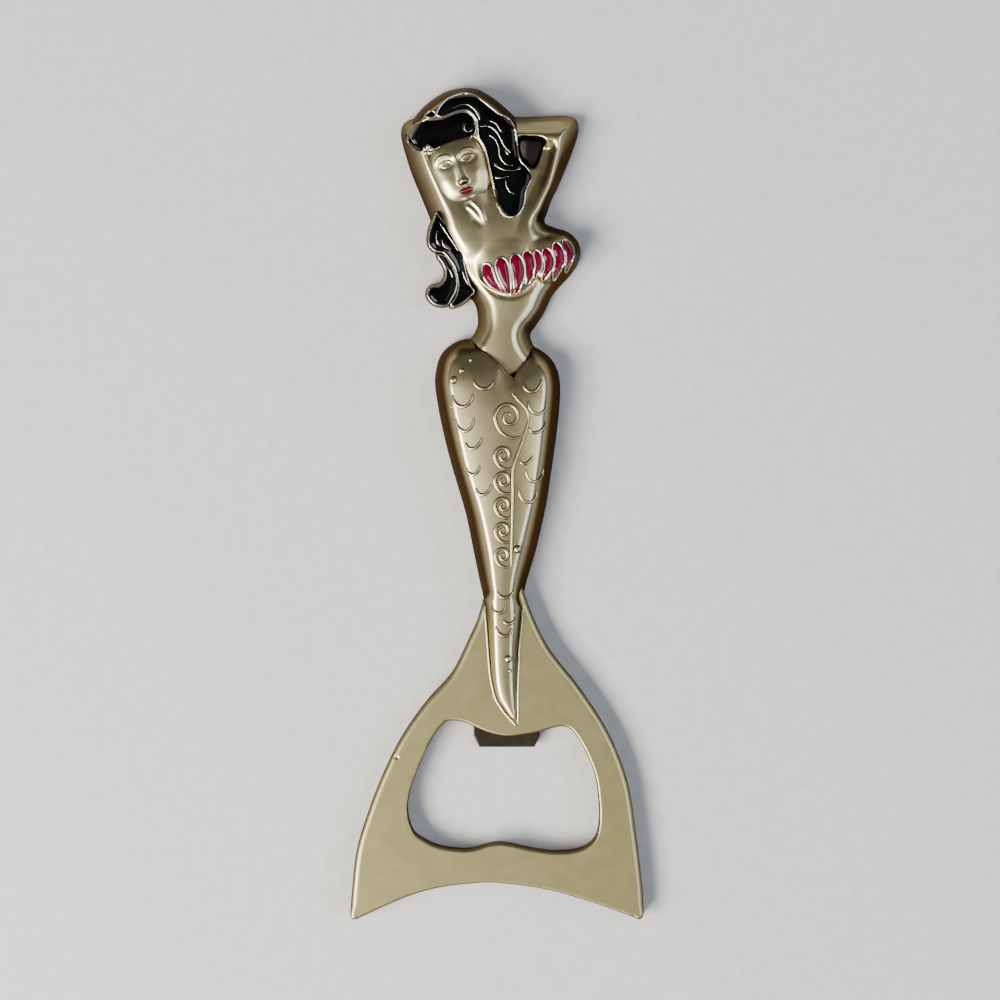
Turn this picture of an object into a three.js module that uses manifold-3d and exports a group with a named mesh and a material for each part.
// Souvenir bottle opener: a mermaid cast in one piece, lying on its flat back. The tail fluke is
// a flat plate with the crown-cap opening, a stamped steel lip sits in a pocket in its back, and
// the hair, shells, lips and hair flower are cells filled with enamel.
//
// Millimetres. The back lies on z = 0, the relief faces +Z, the head points to +Y, and
// x = y = 0 is the middle of the outline.

import * as THREE from 'three';
import { mergeVertices } from 'three/addons/utils/BufferGeometryUtils.js';
import Module from 'manifold-3d';

const wasm = await Module();
wasm.setup();

// ---------------------------------------------------------------- driving dimensions

const OVERALL_LENGTH = 149.4;
const OVERALL_WIDTH = 52.8;

const PLATE_THICKNESS = 4.2;    // the fluke
const PLATE_EDGE = 0.6;         // rounding of the fluke's edges
const TIP_RADIUS = PLATE_EDGE + 0.2;   // rounding of the fluke's two tips, seen from above
const HIP_HEIGHT = 8.6;         // highest line of the tail
const TAIL_TIP_RISE = 0.4;      // tail tip above the fluke
const CHEST_HEIGHT = 7.4;
const NECK_HEIGHT = 5.8;
const BUST_HEIGHT = 9.2;
const ARM_HEIGHT = 6.8;
const FACE_HEIGHT = 8.4;
const HAIR_HEIGHT = 7.8;
const LOCK_HEIGHT = 6.2;
const WEB_THICKNESS = 2.4;
const HAIR_EDGE = 0.7;          // rounding of the hair's upper edge

const FILL_DEPTH = 0.9;         // depth of an enamel cell
const FIT_GAP = 0.3;            // clearance between a fitted piece and its pocket
const RIM_WIDTH = 0.5;          // cast rim around the lock's cells
const FLOWER_RIM = 0.4;         // metal petals around the flower's enamel

const INSERT_WIDTH = 12.0;      // stamped steel lip
const INSERT_TAPER = 1.0;       // narrowing of each side towards the lip's free edge
const INSERT_LENGTH = 11.0;
const INSERT_THICKNESS = 1.6;
const INSERT_REACH = 2.1;       // how far the lip stands out under the cast edge
const POST_RADIUS = 1.1;        // cast posts that hold the insert
const POST_SPACING = 6.4;
const PEEN_RADIUS = 2.0;        // spread end of each post
const PEEN_HEIGHT = 0.5;

// The outlines below are drawn on this sheet and stretched to the overall sizes.
const DRAWN_LENGTH = 149.4;
const DRAWN_WIDTH = 52.8;
const STRETCH_X = OVERALL_WIDTH / DRAWN_WIDTH;
const STRETCH_Y = OVERALL_LENGTH / DRAWN_LENGTH;

const TALL = 30;                // taller than anything here, for tools that cut right through
const SLIVER = 0.01;            // largest sliver dropped from a joined piece
const BELOW = -1.5;             // masses start under the back and are cut off flat along it

// ---------------------------------------------------------------- outlines (x, y)

// Fluke, from the leg down the left side, along the trailing edge and up the right side.
const FLUKE_LEFT = [[-1.6, -14.4], [-2.4, -17.1], [-5, -24.1], [-8.1, -30.3], [-12.7, -35.5],
  [-17.2, -41.9], [-20.6, -48.7], [-23.2, -55.4], [-25.2, -62], [-26.2, -69.4], [-26.4, -73.9]];
const FLUKE_TRAILING = [[-25, -74.5], [-19.7, -72.1], [-15, -70.2], [-10, -68.9], [-1.5, -68.05],
  [7.2, -69], [16.7, -71.5], [25, -74.5]];
const FLUKE_RIGHT = [[26.4, -73.9], [26.2, -69.4], [25.1, -60], [23.5, -50], [20.1, -41.3],
  [15.05, -33.4], [9.2, -25.8], [6.1, -19.4], [4.6, -14.4]];

// Opening for a crown cap. Its upper edge is the casting's half of the lip.
const MOUTH = [[-9, -39.1], [-5.5, -39.4], [-0.7, -41.4], [4.2, -41.6], [9.6, -40.4], [12.9, -40.3],
  [15.4, -43.6], [17.7, -49.2], [18.4, -54.9], [17.7, -60.1], [14.2, -62.4], [8.4, -62.5],
  [0.5, -61.1], [-5.7, -62.3], [-10.7, -61.6], [-14.8, -59.3], [-16.1, -54.9], [-15, -49.8],
  [-12.3, -43.4]];
const LIP = { x: 1.75, y: -41.8 };   // middle of the cast lip, lowest point of its edge

// Hair mass around the head, including the fringe.
const HAIR = [[-16.4, 66.9], [-14.9, 69.4], [-11.6, 72.7], [-6.3, 74.7], [-3.5, 74.5], [1.5, 71.2],
  [3.4, 69.2], [4.2, 65.2], [5.3, 61.4], [6.6, 58.6], [5.5, 54.6], [4.4, 52], [2.3, 51], [0.2, 52.2],
  [-0.8, 56.6], [-1.8, 61], [-2.2, 63.9], [-4.2, 65.5], [-8.6, 64.1], [-12.6, 62.4], [-15.2, 63.3],
  [-16.6, 65.1]];

// Thin web that closes the gaps between the head, hair, arms and chest.
const WEB = [[-16, 66.4], [-14.4, 58], [-11.8, 52.2], [-11.4, 47.5], [-8.6, 43], [-4.6, 39], [8.4, 39],
  [8.4, 50.4], [10.4, 56.4], [13.4, 64], [13.6, 68.4], [3, 69.2], [-6, 72]];
const ARM_WINDOW = [[4.4, 65.1], [7.9, 64.8], [7.6, 63.2], [6.35, 60.9], [4.5, 63]];

// Enamel cells.
const CROWN_CELL = [[-10.7, 70.4], [-8.4, 73], [-6.1, 73.6], [-2.8, 72.5], [0.5, 70], [2.7, 68.3],
  [3.6, 65.1], [4.3, 61.6], [6, 59.3], [5.1, 56], [4.3, 52.9], [2.3, 51.7], [0.4, 53.5],
  [-0.4, 58.2], [-1.4, 62.3], [-2.3, 65.1], [-3.4, 66.9], [-3.4, 69.2], [-5.2, 70.9],
  [-7.5, 70.8], [-9.4, 69.9]];
const FRINGE_CELL = [[-13.2, 68.7], [-9.9, 69], [-7.3, 70], [-5.1, 70.1], [-4.1, 68.9], [-4.2, 67],
  [-5.8, 65.4], [-9.1, 64.4], [-12.6, 63], [-15.1, 63.9], [-15.9, 66.1]];
const FRINGE_CURL_CELL = [[-12.8, 69.5], [-12.4, 70.4], [-11.2, 70.3], [-11.3, 69.6]];
const LOCK_INNER_CELL = [[-10.8, 52], [-8.6, 49.2], [-6.6, 46.2], [-5.9, 43.2], [-4.4, 38.2],
  [-5.8, 36.6], [-8.2, 35.6], [-7.4, 37.6], [-6.8, 39.6], [-7.5, 42.4], [-9.2, 44.8], [-11.4, 45.8],
  [-12.1, 48.1]];
const LOCK_CURL_CELL = [[-10.2, 44.6], [-8.6, 42.8], [-7.7, 39.8], [-8, 37.6], [-9, 35.9],
  [-11.8, 36.5], [-12.2, 38.3], [-10.4, 39], [-9.2, 41.2]];
const FLOWER_CELL = [[-12.95, 63.2], [-12.1, 62.95], [-11.75, 63.7], [-12.3, 64.2], [-12.95, 63.9]];
const LIPS_CELL = [[-7.35, 55.85], [-6.4, 56.9], [-5.4, 57.2], [-4, 56.9], [-4.7, 55.9], [-5.4, 55.5],
  [-6.2, 55.4]];

// Shell lobes: top, middle and lower end of the centre line, and the widest width.
const SHELL_LOBES = [
  { line: [[-2.1, 42.6], [-1.6, 40.8], [0.3, 38.6]], width: 1.9 },
  { line: [[0.6, 43.9], [1.2, 41.5], [2.2, 38.2]], width: 2.1 },
  { line: [[3.1, 44.5], [3.8, 42], [3.5, 38.3]], width: 2.2 },
  { line: [[5.1, 45], [5.7, 42.8], [5.6, 40]], width: 1.8 },
  { line: [[6.9, 45.2], [7.5, 43.6], [7.1, 40.8]], width: 1.3 },
  { line: [[8.75, 45.6], [9.3, 43.6], [8.5, 40.5]], width: 1.7 },
  { line: [[10.8, 46.5], [11.3, 44], [10.5, 40.9]], width: 1.6 },
  { line: [[12.2, 47.2], [13.1, 44.8], [12.5, 42]], width: 1.3 },
];
const LEFT_SHELL_LOBES = 4;     // the rest belong to the right bust

// Lofted masses. A tail or torso section is [y, left, left shoulder, right shoulder, right, rise],
// where rise is the share of the mass's height, and an arm section is [x, y, half width, rise].
const TAIL = [[29.6, -5, -4.2, 2.2, 3.4, 0.8], [28.4, -8.6, -6, 4.2, 6.1, 0.9],
  [26.4, -10.3, -8, 7, 9.5, 0.96], [22, -11.2, -9.1, 9.2, 11.3, 1], [17.2, -10.6, -8.6, 9.3, 11.3, 1],
  [11.2, -9.3, -7.1, 8.6, 10.5, 0.98], [5.2, -7.8, -5.2, 7.5, 9.7, 0.94], [0, -5.9, -3.9, 6.5, 8.9, 0.91],
  [-8.4, -4.6, -2.3, 4.9, 7, 0.86], [-15, -3.2, -1, 3.6, 5, 0.82], [-20, -2, -0.5, 3.2, 4.3, 0.77],
  [-30, -1.2, 0, 2.8, 3.75, 0.67]];
const TAIL_TIP = [-39.4, 3.1, 3.3, 3.5, 3.7];
const TORSO = [[28, -2.4, -1, 4, 5.4, 0.86], [32, -3.5, -0.6, 4.9, 7, 0.88], [35, -3.8, -1.3, 6.4, 8.8, 0.92],
  [38, -4.3, -2.5, 7.9, 10.2, 0.95], [42, -5.9, -4, 8.4, 11, 0.98], [46, -8, -6, 8.2, 10, 1],
  [50, -10.8, -8.4, 7.2, 8.8, 1], [53, -10.6, -8.2, 6.8, 8.6, 0.9], [56, -8, -6, 4, 6, 0.75]];
const LEFT_ARM = [[-8.6, 48.4, 3.4, 0.95], [-10.6, 53.2, 3.2, 1], [-13, 58.4, 2.8, 0.95],
  [-14.8, 64, 2.3, 0.85], [-15.1, 67.4, 1.9, 0.75]];
const RIGHT_ARM = [[6.4, 49.4, 3, 0.95], [7.6, 54.6, 2.9, 1], [9.4, 60, 2.7, 0.95], [11, 64.4, 2.7, 0.9],
  [11.9, 68.2, 2.5, 0.85]];
const FOREARM = [[13.4, 67.5, 1.9, 0.8], [9, 67.4, 2.2, 0.9], [3, 67.5, 2.1, 0.9]];

// Rounded masses: centre, half sizes and turn about z.
const HEAD = { x: -6.6, y: 60.2, halfX: 4.6, halfY: 6.7, turn: THREE.MathUtils.degToRad(18) };
const NECK = { x: -2.6, y: 53.6, halfX: 4.2, halfY: 4.6, turn: 0 };
const LEFT_BUST = { x: 2.1, y: 43, halfX: 6.4, halfY: 6.2, turn: 0 };
const RIGHT_BUST = { x: 10.1, y: 44.6, halfX: 5, halfY: 4.7, turn: 0 };

// ---------------------------------------------------------------- shape helpers

const stretched = ([x, y]) => new THREE.Vector2(x * STRETCH_X, y * STRETCH_Y);

/** Points of a smooth closed outline through a few drawn points. */
function closedOutline(drawn, steps) {
  const corners = drawn.map(stretched).map((p) => new THREE.Vector3(p.x, p.y, 0));
  const curve = new THREE.CatmullRomCurve3(corners, true, 'centripetal');
  return curve.getPoints(steps).slice(0, -1).map((p) => new THREE.Vector2(p.x, p.y));
}

/** Points of a smooth open line, without its last point so that lines can be chained. */
function openLine(drawn, steps) {
  const corners = drawn.map(stretched).map((p) => new THREE.Vector3(p.x, p.y, 0));
  const curve = new THREE.CatmullRomCurve3(corners, false, 'centripetal');
  return curve.getPoints(steps).slice(0, -1).map((p) => new THREE.Vector2(p.x, p.y));
}

/** Distance from a point to the nearest side of an outline. */
function distanceToOutline(point, outline) {
  const nearest = new THREE.Vector3();
  const probe = new THREE.Vector3(point.x, point.y, 0);
  const side = new THREE.Line3();
  let least = Infinity;
  outline.forEach((start, i) => {
    const end = outline[(i + 1) % outline.length];
    side.start.set(start.x, start.y, 0);
    side.end.set(end.x, end.y, 0);
    side.closestPointToPoint(probe, true, nearest);
    least = Math.min(least, nearest.distanceTo(probe));
  });
  return least;
}

/** An outline moved outwards by a distance, or inwards if it is negative, with no folds. */
function offsetOutline(outline, distance) {
  const turn = THREE.ShapeUtils.isClockWise(outline) ? -1 : 1;
  const moved = outline.map((point, i) => {
    const before = outline.at(i - 1);
    const after = outline[(i + 1) % outline.length];
    const along = after.clone().sub(before).normalize();
    return point.clone().add(new THREE.Vector2(along.y, -along.x).multiplyScalar(turn * distance));
  });
  const enough = Math.abs(distance) * 0.93;
  return moved.filter((point) => distanceToOutline(point, outline) >= enough);
}

/** Straight prism over an outline, from one height to another. */
function prism(outline, from, to) {
  const geometry = new THREE.ExtrudeGeometry(new THREE.Shape(outline), { depth: to - from, bevelEnabled: false });
  geometry.translate(0, 0, from);
  return geometry;
}

/** Prism from under the back up to a height, with rounded edges; the mouth is an optional hole. */
function roundedPrism(outline, height, edge, mouth) {
  const shape = new THREE.Shape(outline);
  if (mouth) shape.holes.push(new THREE.Path(mouth));
  const geometry = new THREE.ExtrudeGeometry(shape, {
    depth: height - BELOW - 2 * edge,
    bevelThickness: edge,
    bevelSize: edge,
    bevelOffset: -edge,
    bevelSegments: 2,
  });
  geometry.translate(0, 0, BELOW + edge);
  return geometry;
}

/** A closed skin over rings of points, capped at both ends. Every ring is convex. */
function loft(rings) {
  const count = rings[0].length;
  const positions = rings.flat().flatMap((p) => [p.x, p.y, p.z]);
  const index = [];
  for (let ring = 0; ring + 1 < rings.length; ring++) {
    for (let i = 0; i < count; i++) {
      const a = ring * count + i;
      const b = ring * count + (i + 1) % count;
      index.push(a, b, b + count, a, b + count, a + count);
    }
  }
  const last = (rings.length - 1) * count;
  for (let i = 1; i + 1 < count; i++) {
    index.push(0, i + 1, i);
    index.push(last, last + i, last + i + 1);
  }
  const geometry = new THREE.BufferGeometry();
  geometry.setAttribute('position', new THREE.Float32BufferAttribute(positions, 3));
  geometry.setIndex(enclosedVolume(rings.flat(), index) < 0 ? index.reverse() : index);
  return geometry;
}

/** Volume inside a triangle mesh, negative if its faces point inwards. */
function enclosedVolume(points, index) {
  let volume = 0;
  for (let i = 0; i < index.length; i += 3) {
    const [a, b, c] = index.slice(i, i + 3).map((k) => points[k]);
    volume += a.dot(new THREE.Vector3().crossVectors(b, c)) / 6;
  }
  return volume;
}

/** One cross-section of a cushion-shaped mass: upright feet, steep sides and a crowned front. */
function cushionRing(left, leftShoulder, rightShoulder, right, height) {
  const crown = leftShoulder.clone().lerp(rightShoulder, 0.5);
  const point = (flat, share) => new THREE.Vector3(flat.x, flat.y, height * share);
  return [
    new THREE.Vector3(left.x, left.y, BELOW),
    point(left, 0.3),
    point(left.clone().lerp(leftShoulder, 0.45), 0.66),
    point(leftShoulder, 0.87),
    point(leftShoulder.clone().lerp(crown, 0.45), 0.965),
    point(crown, 1),
    point(rightShoulder.clone().lerp(crown, 0.45), 0.965),
    point(rightShoulder, 0.87),
    point(right.clone().lerp(rightShoulder, 0.45), 0.66),
    point(right, 0.3),
    new THREE.Vector3(right.x, right.y, BELOW),
  ];
}

/** Rows of numbers smoothed to more rows, each column along one curve. */
function smoothRows(rows, steps) {
  const columns = rows[0].map((_, column) => {
    const points = rows.map((row, i) => new THREE.Vector2(i, row[column]));
    return new THREE.SplineCurve(points).getPoints(steps).map((p) => p.y);
  });
  return columns[0].map((_, i) => columns.map((column) => column[i]));
}

/** Mass drawn by left and right edges along the body, as the tail and torso are. */
function bodyMass(rows, height, steps) {
  return loft(smoothRows(rows, steps).map(([y, left, leftShoulder, rightShoulder, right, rise]) => {
    const edges = [left, leftShoulder, rightShoulder, right].map((x) => stretched([x, y]));
    return cushionRing(...edges, height * rise);
  }));
}

/** Mass drawn by a centre line and a half width, as the arms are. */
function limbMass(rows, height, steps) {
  const fine = smoothRows(rows, steps);
  return loft(fine.map(([x, y, halfWidth, rise], i) => {
    const [backX, backY] = fine[Math.max(i - 1, 0)];
    const [aheadX, aheadY] = fine[Math.min(i + 1, fine.length - 1)];
    const across = new THREE.Vector2(backY - aheadY, aheadX - backX).normalize();
    const edges = [1, 0.35, -0.35, -1].map((share) => (
      stretched([x + across.x * halfWidth * share, y + across.y * halfWidth * share])));
    return cushionRing(...edges, height * rise);
  }));
}

/** Ellipsoid whose highest point is at a height; it reaches below the back and is trimmed there. */
function roundMass({ x, y, halfX, halfY, turn }, height, shrink = 0) {
  const geometry = new THREE.SphereGeometry(1, 28, 18);
  geometry.rotateX(Math.PI / 2);
  geometry.scale(halfX * STRETCH_X - shrink, halfY * STRETCH_Y - shrink, height - shrink);
  geometry.rotateZ(turn);
  const centre = stretched([x, y]);
  geometry.translate(centre.x, centre.y, 0);
  return geometry;
}

/** Outline of a shell lobe: round at the top, pointed at the lower end. */
function lobeOutline({ line, width }, steps) {
  const spine = new THREE.SplineCurve(line.map(stretched));
  const side = (sign) => Array.from({ length: steps + 1 }, (_, i) => {
    const along = i / steps;
    const halfWidth = (width / 2) * Math.sqrt(Math.sin(Math.PI * Math.min(1, along * 0.88 + 0.12)));
    const tangent = spine.getTangent(along);
    return spine.getPoint(along).add(new THREE.Vector2(-tangent.y, tangent.x).multiplyScalar(sign * halfWidth));
  });
  return [...side(1), ...side(-1).reverse().slice(1)];
}

// ---------------------------------------------------------------- solids

function solid(geometry) {
  const bare = geometry.clone();
  bare.deleteAttribute('normal');
  bare.deleteAttribute('uv');
  const merged = mergeVertices(bare, 1e-4);
  return new wasm.Manifold(new wasm.Mesh({
    numProp: 3,
    vertProperties: new Float32Array(merged.attributes.position.array),
    triVerts: new Uint32Array(merged.index.array),
  }));
}

/** Geometry of a solid, without the slivers that joins leave along their seams. */
function geometryOf(manifold) {
  const mesh = manifold.simplify(SLIVER).getMesh();
  const geometry = new THREE.BufferGeometry();
  geometry.setAttribute('position', new THREE.BufferAttribute(mesh.vertProperties, 3));
  geometry.setIndex(new THREE.BufferAttribute(mesh.triVerts, 1));
  return geometry;
}

const joined = (solids) => solids.reduce((whole, piece) => whole.add(piece));

// ---------------------------------------------------------------- materials

const satinNickel = new THREE.MeshStandardMaterial({ color: 0xb3a88a, metalness: 1, roughness: 0.32 });
const darkSteel = new THREE.MeshStandardMaterial({ color: 0x5a544a, metalness: 1, roughness: 0.38 });
const blackEnamel = new THREE.MeshStandardMaterial({ color: 0x050506, metalness: 0, roughness: 0.12 });
const crimsonEnamel = new THREE.MeshStandardMaterial({ color: 0x7a0414, metalness: 0, roughness: 0.15 });
const roseEnamel = new THREE.MeshStandardMaterial({ color: 0xc83a4c, metalness: 0, roughness: 0.2 });

const opener = new THREE.Group();

function addPiece(name, piece, material) {
  const mesh = new THREE.Mesh(geometryOf(piece), material);
  mesh.name = name;
  opener.add(mesh);
}

// ---------------------------------------------------------------- enamel cells

/** A flat-topped cell sunk into the casting: what is cut away, and the enamel that fills it. */
function flatCell(outline, top) {
  return {
    pocket: solid(prism(outline, top - FILL_DEPTH, TALL)),
    fill: solid(prism(offsetOutline(outline, -FIT_GAP), top - FILL_DEPTH + FIT_GAP, top)),
  };
}

/** A cell sunk into a rounded mass, with its floor and its enamel following the curve. */
function domedCell(outline, mass, height) {
  const floor = solid(roundMass(mass, height, FILL_DEPTH));
  const bed = solid(roundMass(mass, height, FILL_DEPTH - FIT_GAP));
  const surface = solid(roundMass(mass, height));
  return {
    pocket: solid(prism(outline, 0, TALL)).subtract(floor),
    fill: solid(prism(offsetOutline(outline, -FIT_GAP), 0, TALL)).intersect(surface).subtract(bed),
  };
}

/** The same cell running round a metal boss, such as the hair flower. */
function cellRoundBoss({ pocket, fill }, outline) {
  return {
    pocket: pocket.subtract(solid(prism(outline, 0, TALL))),
    fill: fill.subtract(solid(prism(offsetOutline(outline, FIT_GAP), 0, TALL))),
  };
}

const flowerOutline = closedOutline(FLOWER_CELL, 20);
const flowerBoss = offsetOutline(flowerOutline, FLOWER_RIM);
const fringeCell = flatCell(closedOutline(FRINGE_CELL, 52), HAIR_HEIGHT);

const cells = [
  { name: 'hair_crown_enamel', material: blackEnamel, ...flatCell(closedOutline(CROWN_CELL, 84), HAIR_HEIGHT) },
  { name: 'hair_fringe_enamel', material: blackEnamel, ...cellRoundBoss(fringeCell, flowerBoss) },
  { name: 'hair_fringe_curl_enamel', material: blackEnamel,
    ...flatCell(closedOutline(FRINGE_CURL_CELL, 16), HAIR_HEIGHT) },
  { name: 'lock_inner_enamel', material: blackEnamel, ...flatCell(closedOutline(LOCK_INNER_CELL, 56), LOCK_HEIGHT) },
  { name: 'lock_curl_enamel', material: blackEnamel, ...flatCell(closedOutline(LOCK_CURL_CELL, 40), LOCK_HEIGHT) },
  { name: 'flower_enamel', material: roseEnamel, ...flatCell(flowerOutline, HAIR_HEIGHT) },
  { name: 'lips_enamel', material: crimsonEnamel,
    ...domedCell(closedOutline(LIPS_CELL, 20), HEAD, FACE_HEIGHT) },
  ...SHELL_LOBES.map((lobe, i) => ({
    name: `shell_enamel_${i + 1}`,
    material: crimsonEnamel,
    ...domedCell(lobeOutline(lobe, 9), i < LEFT_SHELL_LOBES ? LEFT_BUST : RIGHT_BUST, BUST_HEIGHT),
  })),
];

// ---------------------------------------------------------------- steel lip and its pocket

const insertBottom = LIP.y * STRETCH_Y - INSERT_REACH;
const insertTop = insertBottom + INSERT_LENGTH;
const insertCentre = LIP.x * STRETCH_X;
const insertBack = PEEN_HEIGHT + FIT_GAP;
const postY = (insertTop + LIP.y * STRETCH_Y) / 2;
const postPlaces = [-0.5, 0.5].map((share) => new THREE.Vector2(insertCentre + share * POST_SPACING, postY));

/** Outline of the insert, tapering to its free edge, grown by a clearance. */
function insertOutline(grow) {
  const half = INSERT_WIDTH / 2 + grow;
  return [
    new THREE.Vector2(insertCentre - half + INSERT_TAPER, insertBottom - grow),
    new THREE.Vector2(insertCentre + half - INSERT_TAPER, insertBottom - grow),
    new THREE.Vector2(insertCentre + half, insertBottom + INSERT_REACH),
    new THREE.Vector2(insertCentre + half, insertTop + grow),
    new THREE.Vector2(insertCentre - half, insertTop + grow),
    new THREE.Vector2(insertCentre - half, insertBottom + INSERT_REACH),
  ];
}

function postPiece(place, radius, from, to) {
  const geometry = new THREE.CylinderGeometry(radius, radius, to - from, 24);
  geometry.rotateX(Math.PI / 2);
  geometry.translate(place.x, place.y, (from + to) / 2);
  return solid(geometry);
}

const pocketRoof = insertBack + INSERT_THICKNESS + FIT_GAP;
const insertPocket = solid(prism(insertOutline(FIT_GAP), -1, pocketRoof));
const posts = postPlaces.flatMap((place) => [
  postPiece(place, POST_RADIUS, PEEN_HEIGHT / 2, pocketRoof + FIT_GAP),
  postPiece(place, PEEN_RADIUS, 0, PEEN_HEIGHT),
]);
const insertHoles = postPlaces.map((place) => postPiece(place, POST_RADIUS + FIT_GAP, -1, TALL));
const insertBlank = solid(prism(insertOutline(0), insertBack, insertBack + INSERT_THICKNESS));

// ---------------------------------------------------------------- the casting

/** Rounded tip of the fluke on one side (-1 left, 1 right), between two angles in degrees. */
function flukeTip(side, from, to) {
  const corner = stretched([side * DRAWN_WIDTH / 2, -DRAWN_LENGTH / 2]);
  const arc = new THREE.EllipseCurve(corner.x - side * TIP_RADIUS, corner.y + TIP_RADIUS, TIP_RADIUS,
    TIP_RADIUS, THREE.MathUtils.degToRad(from), THREE.MathUtils.degToRad(to));
  return arc.getPoints(5);
}

const flukeOutline = [
  ...openLine(FLUKE_LEFT, 36),
  ...flukeTip(-1, 180, 290),
  ...openLine(FLUKE_TRAILING, 24).slice(1),
  ...flukeTip(1, 250, 360),
  ...openLine(FLUKE_RIGHT, 34).slice(1),
  stretched(FLUKE_RIGHT.at(-1)),
];
const mouthOutline = closedOutline(MOUTH, 76).reverse();
const fluke = solid(roundedPrism(flukeOutline, PLATE_THICKNESS, PLATE_EDGE, mouthOutline));

const [tipY, ...tipEdges] = TAIL_TIP;
const tipRow = [tipY, ...tipEdges, (PLATE_THICKNESS + TAIL_TIP_RISE) / HIP_HEIGHT];
const tail = solid(bodyMass([...TAIL, tipRow], HIP_HEIGHT, 44));
const torso = solid(bodyMass(TORSO, CHEST_HEIGHT, 22));
const arms = [
  solid(limbMass(LEFT_ARM, ARM_HEIGHT, 12)),
  solid(limbMass(RIGHT_ARM, ARM_HEIGHT, 12)),
  solid(limbMass(FOREARM, ARM_HEIGHT, 6)),
];
const hair = solid(roundedPrism(closedOutline(HAIR, 88), HAIR_HEIGHT, HAIR_EDGE));
const lock = joined([LOCK_INNER_CELL, LOCK_CURL_CELL].map((cell) => (
  solid(roundedPrism(offsetOutline(closedOutline(cell, 56), RIM_WIDTH), LOCK_HEIGHT, RIM_WIDTH / 2)))));
const web = solid(prism(closedOutline(WEB, 60), BELOW, WEB_THICKNESS));
const roundMasses = [
  solid(roundMass(HEAD, FACE_HEIGHT)),
  solid(roundMass(NECK, NECK_HEIGHT)),
  solid(roundMass(LEFT_BUST, BUST_HEIGHT)),
  solid(roundMass(RIGHT_BUST, BUST_HEIGHT)),
];

const aboveBack = new THREE.BoxGeometry(OVERALL_WIDTH * 2, OVERALL_LENGTH * 2, TALL);
aboveBack.translate(0, 0, TALL / 2);
const armWindow = solid(prism(closedOutline(ARM_WINDOW, 20), -1, TALL));

const blank = joined([fluke, tail, torso, ...arms, hair, lock, web, ...roundMasses]).intersect(solid(aboveBack));
const hollowed = cells.reduce((body, cell) => body.subtract(cell.pocket), blank)
  .subtract(armWindow)
  .subtract(insertPocket);

addPiece('cast_body', joined([hollowed, ...posts]), satinNickel);
addPiece('lip_insert', insertHoles.reduce((blankSheet, hole) => blankSheet.subtract(hole), insertBlank), darkSteel);
cells.forEach(({ name, fill, material }) => addPiece(name, fill, material));

export default opener;
